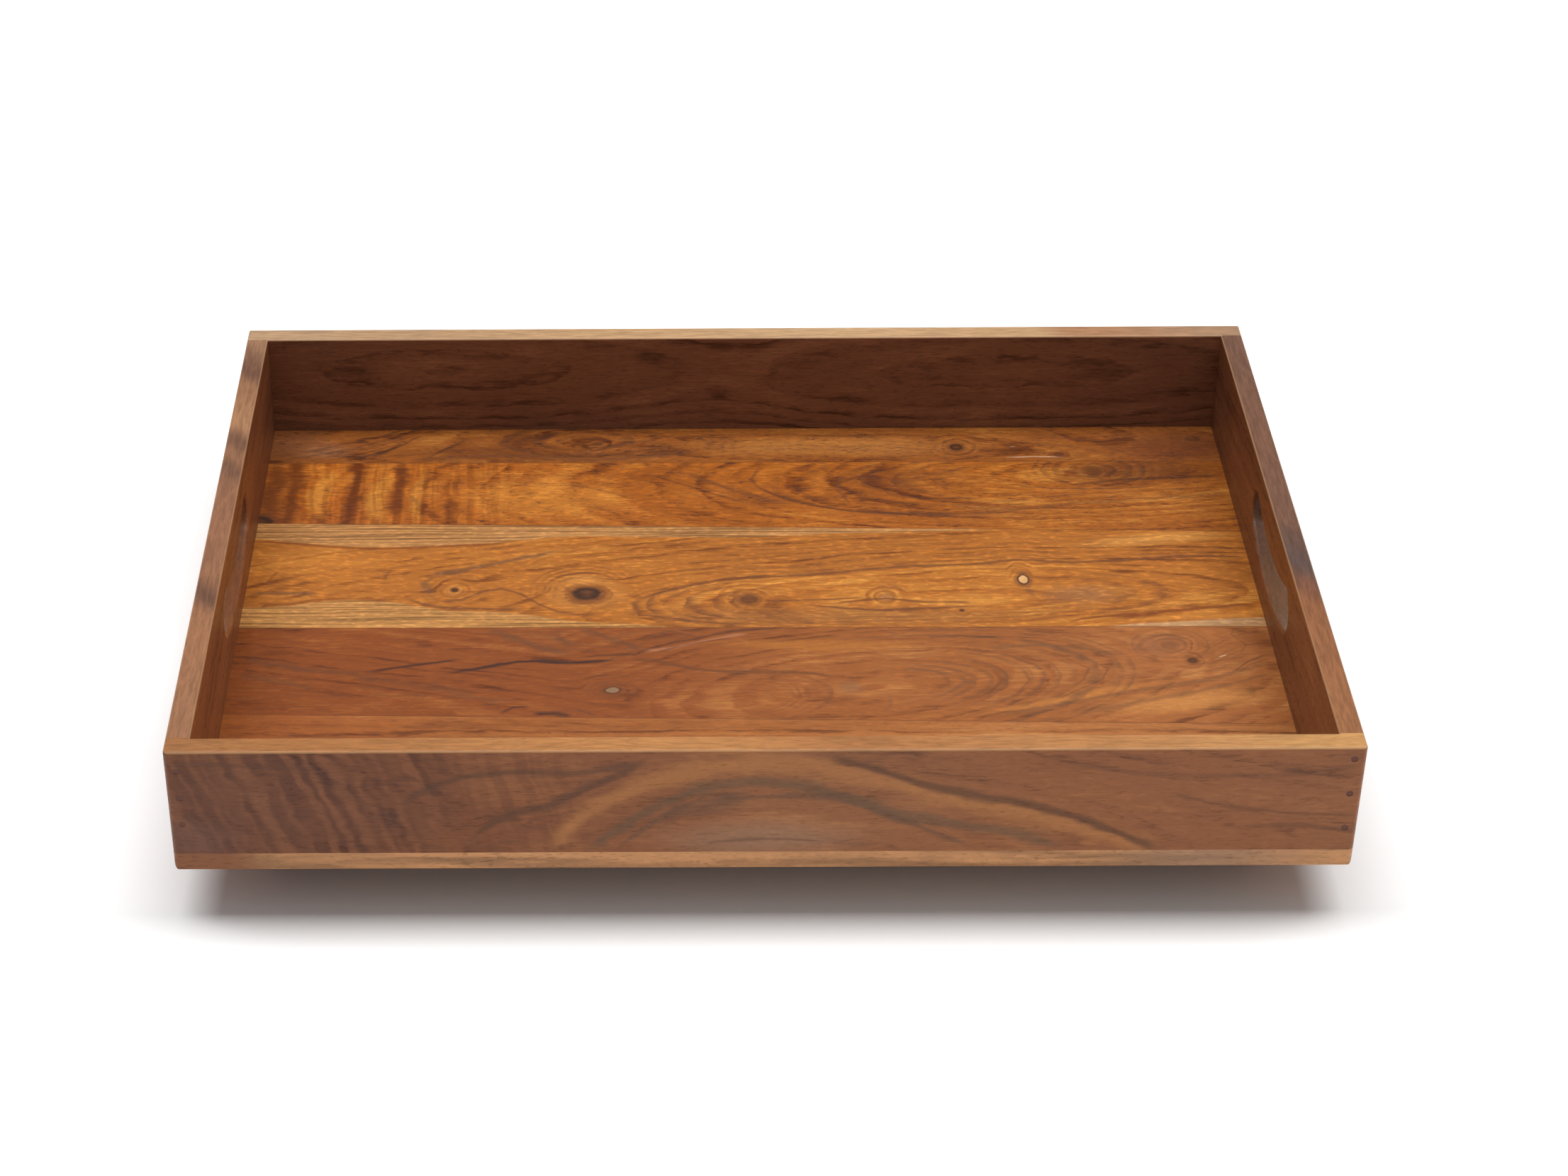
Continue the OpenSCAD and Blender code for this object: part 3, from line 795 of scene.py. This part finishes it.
BASE_BOARD_4 = Wood(
    deep=(0.095, 0.024, 0.005), middle=(0.235, 0.068, 0.0145), bright=(0.37, 0.14, 0.034),
    swirls=[Swirl(45, -52, 3.0, turn=9), Swirl(-190, -60, 7.0, turn=-10, start=5)],
    knots=[
        Knot(-55.5, -52.1, 2.7, long=1.35, dark=0.6, reach=2.4, heart=(0.22, 0.125, 0.065)),
        Knot(173.4, -33.8, 2.1, dark=0.75, reach=3.0),
        Knot(166, -23, 3.4, long=1.2, dark=0.18, reach=2.4),
    ],
    flows=[
        Flow([(-206, -32), (-160, -38), (-121, -40), (-102, -35), (-84, -32.5), (-54, -32)], -16, -1, 4.2,
              BROWN, 0.35),
        Flow([(-115, -10), (-95, -16), (-81, -25), (-55, -30), (-37, -22), (-10, -12.5), (20, -9)], -2,
              16, 3.4, GREYISH, 0.4),
        Flow([(-54, -32), (-29, -36.5), (0, -41), (25, -42)], -14, -1, 3.4, BROWN, 0.4),
        Flow([(-20, -17), (30, -12), (90, -14), (150, -12)], -18, 4, 3.6, BROWN, 0.35),
        Flow([(85, -72), (125, -60.5), (156, -52), (182, -45), (206, -34)], -14, 16, 4.2, BROWN, 0.4),
        Flow([(-206, -62), (-150, -60), (-90, -64)], -10, 12, 4.5, BROWN, 0.3),
        Flow([(176, -44), (190, -32), (206, -26)], -4, 18, 2.4, BROWN, 0.45),
    ],
    rings=[
        Rings(45, -52, 2.6, 8, 10, 41, 2.8, 12, (0.12, 0.05, 0.022), 0.8),
        Rings(-22, -57.5, 2.6, 3, 12, 21, 1.6, 0, BROWN, 0.5),
        Rings(166, -23, 1.3, 0, 3, 13, 2.1, None, GREYISH, 0.5),
        Rings(-55.5, -52, 1.6, 0, 4, 12, 2.4, None, BROWN, 0.4),
    ],
    streaks=[
        Streak([(-154, -40), (-141, -36.5), (-128, -33.5), (-115, -30.5)], 1.6, BLACK, 0.8),
        Streak([(-121.5, -40), (-112, -38), (-102, -34.5), (-93.5, -32.5), (-84, -32.5), (-75, -33.5),
                (-60, -32.5), (-53, -31.5)], 1.9, BLACK, 0.9),
        Streak([(-70.5, -30), (-60, -28.5), (-45.5, -27.5), (-37.5, -22), (-23.5, -18), (-10, -12.5),
                (6, -10.5), (16, -9.5)], 1.6, BLACK, 0.55),
        Streak([(-46, -26.5), (-33, -24), (-15, -17.5), (0, -13.5)], 1.8, (0.40, 0.17, 0.085), 0.5),
        Streak([(-42, -28.5), (-27, -22), (-6, -17)], 0.94, BLACK, 0.5),
        Streak([(-108, -10.5), (-95.5, -16), (-89, -21), (-81, -24.5), (-70, -27.5)], 4.2, SOFT_BROWN,
                0.6),
        Streak([(-84, -10.5), (-77, -18), (-68.5, -24)], 4.2, SOFT_BROWN, 0.6),
        Streak([(-72, -10), (-60, -15), (-50, -22), (-41, -23)], 4.2, SOFT_BROWN, 0.6),
        Streak([(-40, -10), (-28, -14), (-18, -18)], 1.6, BROWN, 0.5),
        Streak([(-52, -32), (-39.5, -32.5), (-29, -36.5), (-18.5, -39.5), (0, -41), (21, -41.5),
                (34, -45)], 2.2, BROWN, 0.7),
        Streak([(-206, -29), (-185, -35.5), (-164, -39.5), (-150, -40.5)], 4.1, BROWN, 0.6),
        Streak([(-206, -41), (-185, -46), (-170, -51)], 3.8, BROWN, 0.5),
        Streak([(-160, -43), (-133, -48), (-110, -56), (-95, -62)], 3.8, BROWN, 0.4),
        Streak([(-100, -68), (-93.5, -63), (-86, -62.5)], 1.8, BLACK, 0.65, fade=4),
        Streak([(-87, -67.5), (-79, -67), (-70, -69.5)], 2.3, BLACK, 0.75, fade=4),
        Streak([(-72, -63.5), (-66, -66), (-60, -70)], 1.4, BROWN, 0.6, fade=4),
        Streak([(46, -69), (53, -60), (52, -54)], 1.9, GREYISH, 0.55, upright=True),
        Streak([(57, -39), (73, -41), (80, -45)], 2.4, GREYISH, 0.7, fade=5),
        Streak([(62, -62), (76, -54), (82.5, -46), (76, -40)], 2.4, GREYISH, 0.6, upright=True),
        Streak([(78, -62), (94, -51), (96.5, -43), (88, -37)], 1.9, BROWN, 0.5, upright=True),
        Streak([(88, -64), (104, -53), (107.5, -43), (98, -35)], 1.5, BROWN, 0.4, upright=True),
        Streak([(120, -54), (131, -44), (132, -38), (123, -32)], 1.4, BROWN, 0.5, upright=True),
        Streak([(112, -62), (128, -52), (140, -42), (138, -36), (129, -31)], 1.4, BROWN, 0.5,
                upright=True),
        Streak([(92, -25), (112, -23), (128, -24.5), (148, -31)], 2.4, GREYISH, 0.6),
        Streak([(155, -30), (153, -24), (160, -17)], 2, GREYISH, 0.5, upright=True),
        Streak([(157, -18), (167, -16), (175, -21)], 1.8, GREYISH, 0.5, fade=4),
        Streak([(92, -70), (125, -60.5), (156, -52), (182, -45), (206, -34)], 2.2, GREYISH, 0.55),
        Streak([(120, -70), (150, -61), (180, -52), (206, -42)], 2.2, GREYISH, 0.45),
        Streak([(185, -46), (194, -36), (206, -28)], 1.1, BROWN, 0.6),
        Streak([(188, -46), (197, -36), (207, -32)], 1.1, BROWN, 0.5),
        Streak([(192, -30), (196, -24), (191, -18), (196, -12)], 0.8, BROWN, 0.5, upright=True,
                fade=3),
        Streak([(184, -33.5), (187.5, -30)], 0.47, (0.6, 0.45, 0.32), 0.7, fade=1),
    ],
    patches=[
        Patch(-56, -52, (10, 8), (0.18, 0.05, 0.012), 0.5),
        Patch(37, -51, (8, 7), (0.20, 0.085, 0.035), 0.6),
        Patch(162, -23, (16, 11), (0.27, 0.105, 0.045), 0.5),
        Patch(168, -61, (45, 9), (0.52, 0.22, 0.055), 0.6, turn=10),
        Patch(125, -58, (55, 4), (0.45, 0.17, 0.035), 0.55, turn=15),
        Patch(30, -22, (60, 6), (0.42, 0.15, 0.026), 0.5),
        Patch(203, -20, (10, 12), (0.18, 0.05, 0.012), 0.5),
    ],
    tint=[(-206, (0.82, 0.68, 0.52)), (-60, (0.88, 0.78, 0.74)), (30, (1.12, 1.18, 1.25)),
          (206, (1.28, 1.46, 1.75))],
    seed=4.9, pitch=4.5, broad=0.42, lines=0.35, pores=0.2, curl=0.15,
)

BASE_BOARD_5 = Wood(
    deep=(0.135, 0.038, 0.008), middle=(0.30, 0.098, 0.022), bright=(0.41, 0.17, 0.048),
    swirls=[Swirl(-40, -200, 9)],
    streaks=[Streak([(110, -152.5), (215, -152.5)], 9, (0.36, 0.20, 0.115), 0.75, fade=90)],
    flows=[Flow([(-206, -90), (0, -92), (206, -96)], -60, 20, 3.6, BROWN, 0.3)],
    regions=[
        Region([(-215, -157), (-150, -148), (-120, -146), (206, -146)], (0.66, 0.31, 0.125), 0.95, 1.2,
                below=True, lines=0.45),
    ],
    patches=[
        Patch(-196, -153, (40, 20), (0.28, 0.105, 0.04), 0.75),
        Patch(160, -153, (50, 14), (0.34, 0.17, 0.08), 0.5),
    ],
    tint=[(-206, (0.88, 0.72, 0.56)), (-100, (0.98, 0.94, 0.9)), (206, (1.14, 1.26, 1.5))],
    seed=5.5, broad=0.5, lines=0.4, pores=0.3, curl=0.1,
)

FRONT_RAIL = Wood(
    deep=(0.12, 0.033, 0.0095), middle=(0.28, 0.092, 0.027), bright=(0.42, 0.155, 0.046),
    swirls=[Swirl(5, 2, 3.4), Swirl(-235, 60, 5.0, turn=-24, start=10),
            Swirl(260, 60, 7, turn=-8, start=6)],
    streaks=[
        Streak([(-80, 8), (-63, 27), (-50, 35), (-30, 43.5), (-8, 47.5), (13, 47.5), (35, 42), (67, 32),
                (100, 23.5), (124, 15), (145, 7)], 8.5, (0.50, 0.195, 0.052), 0.6),
        Streak([(-66, 8), (-50, 21), (-37, 30), (-19, 37.5), (2, 39), (24, 34.5), (46, 26), (67, 21),
                (89, 16), (110, 9)], 4.6, (0.14, 0.073, 0.034), 0.65),
        Streak([(-56, 8), (-41, 21), (-28, 30), (-8, 32.5), (20, 32.5), (35, 29), (57, 19), (78, 9)], 2.6,
                (0.12, 0.058, 0.030), 0.5),
        Streak([(-134, 28), (-124, 35.5), (-114, 41), (-93, 45), (-63, 45), (-45, 50)], 3.0, RAIL_BROWN,
                0.6),
        Streak([(-108, 12), (-100, 21), (-90, 26), (-79, 29), (-67, 35.5), (-54, 43), (-40, 51)], 4.2,
                RAIL_BROWN, 0.7),
        Streak([(20, 51), (41, 44.5), (59, 37.5), (89, 30.5), (111, 24), (133, 14), (146, 7)], 3.6,
                (0.10, 0.034, 0.013), 0.75),
        Streak([(-40, 22), (-20, 29), (-4, 30)], 5.0, (0.12, 0.055, 0.027), 0.5),
        Streak([(-22, 12.5), (0, 14), (25, 12.5)], 1.2, (0.14, 0.055, 0.025), 0.5),
        Streak([(145, 35), (175, 27), (216, 24)], 1.6, BROWN, 0.45),
        Streak([(170, 17), (190, 20), (216, 15)], 1.6, BROWN, 0.4),
        Streak([(95, 52), (130, 44), (175, 42), (216, 47)], 2.0, BROWN, 0.35),
        Streak([(-216, 50), (-190, 48), (-160, 46)], 2.0, BROWN, 0.5),
    ],
    patches=[
        Patch(-180, 28, (70, 34), (0.16, 0.050, 0.021), 0.5),
        Patch(0, 15, (52, 11), (0.36, 0.19, 0.105), 0.6),
        Patch(-100, 40, (22, 12), (0.30, 0.105, 0.032), 0.4),
        Patch(-205, 14, (22, 12), (0.17, 0.07, 0.045), 0.5),
    ],
    ripples=[Ripple(-220, -112, 6.2, 20, 0.62, fade=14), Ripple(-112, -60, 4.6, 14, 0.25, fade=12)],
    tint=[(-215, (0.66, 0.62, 0.68)), (-120, (0.76, 0.70, 0.72)), (-60, (0.95, 0.92, 0.92)),
          (20, (1.12, 1.2, 1.3)), (120, (1.1, 1.1, 1.1)), (215, (1.06, 1.1, 1.15))],
    rim=[(-215, (0.321, 0.134, 0.044)), (-150, (0.374, 0.151, 0.0448)), (-20, (0.452, 0.199, 0.0624)),
         (30, (0.383, 0.156, 0.0496)), (130, (0.435, 0.194, 0.064)), (215, (0.522, 0.268, 0.092))],
    seed=6.2, pitch=6.0, broad=0.42, lines=0.24, pores=0.2, curl=0.1,
)

BACK_RAIL = Wood(
    deep=(0.085, 0.032, 0.016), middle=(0.205, 0.085, 0.044), bright=(0.32, 0.14, 0.07),
    swirls=[Swirl(-130, 38, 5.5), Swirl(115, 36, 6.0, start=1)],
    # its top's pale grey colours are partly a painted reflection of the overhead light, seen at a grazing
    # angle
    rim=[(-215, (0.432, 0.272, 0.156)), (-150, (0.432, 0.262, 0.139)), (-60, (0.484, 0.292, 0.145)),
         (40, (0.518, 0.321, 0.167)), (130, (0.484, 0.292, 0.145)), (145, (0.389, 0.194, 0.0947)),
         (215, (0.363, 0.214, 0.123))],
    seed=7.4, wander=4.0, pitch=4.5, broad=0.5, lines=0.5, pores=0.35, curl=0.1,
)

LEFT_END = Wood(
    deep=(0.095, 0.031, 0.011), middle=(0.23, 0.078, 0.026), bright=(0.34, 0.125, 0.043),
    swirls=[Swirl(-30, -40, 9, turn=6)],
    tint=[(-144, (1.15, 1.1, 1.1)), (0, (1.05, 1.0, 1.0)), (90, (0.85, 0.8, 0.85)),
          (144, (0.6, 0.6, 0.7))],
    rim=[(-144, (0.287, 0.131, 0.0634)), (-70, (0.313, 0.139, 0.0663)), (-58, (0.139, 0.063, 0.037)),
         (-40, (0.261, 0.117, 0.0585)), (20, (0.261, 0.117, 0.0605)), (35, (0.166, 0.0766, 0.0439)),
         (45, (0.252, 0.117, 0.0585)), (57, (0.166, 0.0766, 0.0439)), (70, (0.348, 0.172, 0.0829)),
         (100, (0.278, 0.131, 0.0634)), (112, (0.148, 0.0674, 0.039)), (144, (0.313, 0.162, 0.0877))],
    # slot colours darken towards the back: painted shade
    slot=[(-40, (0.255, 0.100, 0.038)), (0, (0.22, 0.075, 0.026)), (35, (0.165, 0.056, 0.019))],
    seed=8.6, pitch=6.0, broad=0.5, lines=0.35, pores=0.35, curl=0.1,
)

RIGHT_END = Wood(
    deep=(0.070, 0.022, 0.009), middle=(0.175, 0.058, 0.020), bright=(0.27, 0.098, 0.034),
    swirls=[Swirl(40, -35, 8, turn=-6)],
    tint=[(-144, (1.2, 1.2, 1.2)), (0, (1.0, 1.0, 1.0)), (90, (0.8, 0.78, 0.85)), (144, (0.6, 0.6, 0.7))],
    rim=[(-144, (0.302, 0.121, 0.0461)), (-60, (0.259, 0.0972, 0.0384)), (-46, (0.173, 0.067, 0.0352)),
         (-30, (0.0936, 0.057, 0.048)), (-14, (0.108, 0.057, 0.0416)), (0, (0.158, 0.0737, 0.0448)),
         (70, (0.173, 0.0771, 0.0448)), (144, (0.158, 0.0737, 0.0448))],
    # slot colours darken towards the back: painted shade
    slot=[(-40, (0.205, 0.105, 0.052)), (0, (0.175, 0.082, 0.038)), (35, (0.11, 0.050, 0.027))],
    seed=9.1, pitch=6.0, broad=0.5, lines=0.35, pores=0.35, curl=0.1,
)

SEAM_COLOUR = (0.10, 0.035, 0.012)
SEAM_W = 0.55  # how far from a seam its dark line reaches, in millimetres


def seams_of(node):
    """The lines of a base board's front and back edges, which may run at a slant."""
    corners = [v.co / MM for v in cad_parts[node].data.vertices]
    low, high = (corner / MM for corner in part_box(node))
    ends = [[c.y for c in corners if abs(c.x - x) < 0.05] for x in (low.x, high.x)]
    return [
        Streak([(low.x, edge(ends[0])), (high.x, edge(ends[1]))], SEAM_W, SEAM_COLOUR, 0.5, fade=0.1,
               straight=True)
        for edge in (min, max)
    ]


def dress(node, material):
    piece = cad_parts[node]
    piece.data.materials.clear()
    piece.data.materials.append(material)


def dress_boards():
    boards = (BASE_BOARD_1, BASE_BOARD_2, BASE_BOARD_3, BASE_BOARD_4, BASE_BOARD_5)
    for number, wood in enumerate(boards, 1):
        node = f"base_board_{number}"
        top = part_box(node)[1].z / MM
        dress(node, wood_material(f"{node}_wood", wood, "XYZ", top, seams_of(node)))


def dress_walls():
    """A rail's face is at its front or back, and an end board's at the side that the well shows."""
    walls = (
        ("front_rail", FRONT_RAIL, "XZY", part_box("front_rail")[0].y),
        ("back_rail", BACK_RAIL, "XZY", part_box("back_rail")[0].y),
        ("left_end", LEFT_END, "YZX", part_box("left_end")[1].x),
        ("right_end", RIGHT_END, "YZX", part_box("right_end")[0].x),
    )
    for node, wood, axes, face in walls:
        dress(node, wood_material(f"{node}_wood", wood, axes, face / MM))


STEEL = ((0.42, 0.42, 0.44), (0.6, 0.6, 0.62))
FILLER = ((0.095, 0.028, 0.014), (0.16, 0.052, 0.027))


def dress_brads():
    steel = plain_material("brad_steel", STEEL, roughness=0.3, metallic=1.0, size=0.3)
    filler = plain_material("wood_filler", FILLER, roughness=0.6, metallic=0.0, size=0.5)
    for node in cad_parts:
        if "_brads_" in node:
            dress(node, steel)
        elif "_fillers_" in node:
            dress(node, filler)


# ---- stage, light and camera ----

STAND_H = 20 * MM  # the hidden stand lifts the tray this far off the floor
STAND_INSET = 27 * MM  # and keeps this far inside its edge
FLOOR_REACH = 6.0
FLOOR_T = 0.02
CONTACT_GAP = 0.2 * MM  # keeps the stand clear of the tray
FLOOR_COLOUR = (0.95, 0.95, 0.95)
# the stand's dark colour is painted shade: its face under the tray's front edge shows as the dark band of
# shade there
STAND_SHADE_COLOUR = (0.08, 0.065, 0.06)
SKY_STRENGTH = 0.30
LAMP_AT = (0, 0.16, 1.7)
LAMP_SIZE = (2.8, 0.6)
LAMP_POWER = 48  # watts


def stage_material(name, colour, roughness):
    t = Tree(name)
    return t.finish(Base_Color=rgba(colour), Roughness=roughness)


def box_object(name, low, high, material):
    mesh = bpy.data.meshes.new(name)
    corners = [(x, y, z) for x in (low[0], high[0]) for y in (low[1], high[1]) for z in (low[2], high[2])]
    faces = [(0, 1, 3, 2), (4, 6, 7, 5), (0, 4, 5, 1), (2, 3, 7, 6), (0, 2, 6, 4), (1, 5, 7, 3)]
    mesh.from_pydata(corners, [], faces)
    mesh.materials.append(material)
    made = bpy.data.objects.new(name, mesh)
    bpy.context.scene.collection.objects.link(made)
    return made


def build_stage():
    low, high = cad_bounds
    floor_z = low.z - STAND_H
    floor_paint = stage_material("floor_white", FLOOR_COLOUR, 0.9)
    # the stand is painted dark, as the shade under the tray's front edge
    stand_paint = stage_material("stand_painted_shade", STAND_SHADE_COLOUR, 0.8)
    floor = box_object("floor", (-FLOOR_REACH, -FLOOR_REACH, floor_z - FLOOR_T),
                       (FLOOR_REACH, FLOOR_REACH, floor_z), floor_paint)
    stand = box_object("stand", (low.x + STAND_INSET, low.y + STAND_INSET, floor_z),
                       (high.x - STAND_INSET, high.y - STAND_INSET, low.z - CONTACT_GAP), stand_paint)


def add_area(name, place, target, size, power):
    lamp = bpy.data.lights.new(name, "AREA")
    lamp.shape = "RECTANGLE"
    lamp.size, lamp.size_y = size
    lamp.energy = power
    made = bpy.data.objects.new(name, lamp)
    made.location = place
    made.rotation_euler = (Vector(target) - Vector(place)).to_track_quat("-Z", "Y").to_euler()
    bpy.context.scene.collection.objects.link(made)


def build_light():
    world = bpy.data.worlds.new("studio")
    world.use_nodes = True
    background = world.node_tree.nodes["Background"]
    background.inputs["Color"].default_value = (1, 1, 1, 1)
    background.inputs["Strength"].default_value = SKY_STRENGTH
    bpy.context.scene.world = world
    add_area("overhead", LAMP_AT, (0, 0, 0), LAMP_SIZE, LAMP_POWER)
    view = bpy.context.scene.view_settings
    view.view_transform = "Standard"
    view.look = "None"


CAMERA_AT = Vector((-0.0385, -1.0684, 0.7451))
CAMERA_TURN = 0.272  # degrees to the left of +Y
CAMERA_PITCH = 34.136  # degrees below the horizon
CAMERA_ROLL = -0.40  # degrees
SENSOR_W = 36.0  # millimetres, as is the lens
LENS = 73.86
LENS_SHIFT = 0.0896  # the tray stands left of the picture's middle


def build_camera():
    data = bpy.data.cameras.new("camera")
    data.sensor_width = SENSOR_W
    data.lens = LENS
    data.shift_x = LENS_SHIFT
    data.clip_start, data.clip_end = 0.05, 30.0
    camera = bpy.data.objects.new("camera", data)
    turn, pitch, roll = (math.radians(a) for a in (CAMERA_TURN, CAMERA_PITCH, CAMERA_ROLL))
    right = Vector((math.cos(turn), math.sin(turn), 0))
    level = Vector((-math.sin(turn), math.cos(turn), 0))
    ahead = level * math.cos(pitch) - UP * math.sin(pitch)
    above = UP * math.cos(pitch) + level * math.sin(pitch)
    across = right * math.cos(roll) + above * math.sin(roll)
    upright = above * math.cos(roll) - right * math.sin(roll)
    axes = Matrix((across, upright, -ahead)).transposed().to_4x4()
    camera.matrix_world = Matrix.Translation(CAMERA_AT) @ axes
    bpy.context.scene.collection.objects.link(camera)
    bpy.context.scene.camera = camera


build_camera()
build_stage()
build_light()
dress_boards()
dress_walls()
dress_brads()
